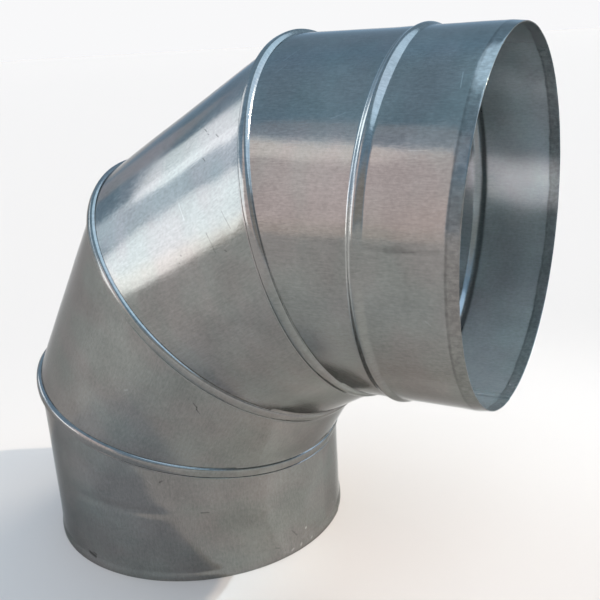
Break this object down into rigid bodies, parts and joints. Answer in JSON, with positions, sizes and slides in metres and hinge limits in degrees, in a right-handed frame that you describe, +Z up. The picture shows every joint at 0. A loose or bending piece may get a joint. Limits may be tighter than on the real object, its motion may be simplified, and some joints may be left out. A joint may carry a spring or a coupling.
{
  "type": "duct elbow",
  "caption": "Round segmented duct elbow of galvanised sheet steel, mitred tube pieces joined by raised lock seams into a right-angle bend, with a stop bead near the upper mouth.",
  "frame": {"origin": "centre of the lower mouth, in the plane of its edge", "axes": "+Z up the lower collar's axis, away from the lower mouth; +X along the upper collar's axis towards the upper mouth"},
  "size_m": [0.4038, 0.2542, 0.3978],
  "materials": {
    "galvanised_sheet": "satin galvanised sheet steel"
  },
  "bodies": {
    "root": {"lower_collar": "galvanised_sheet", "lower_gore": "galvanised_sheet", "upper_gore": "galvanised_sheet", "upper_collar": "galvanised_sheet"}
  },
  "joints": []
}
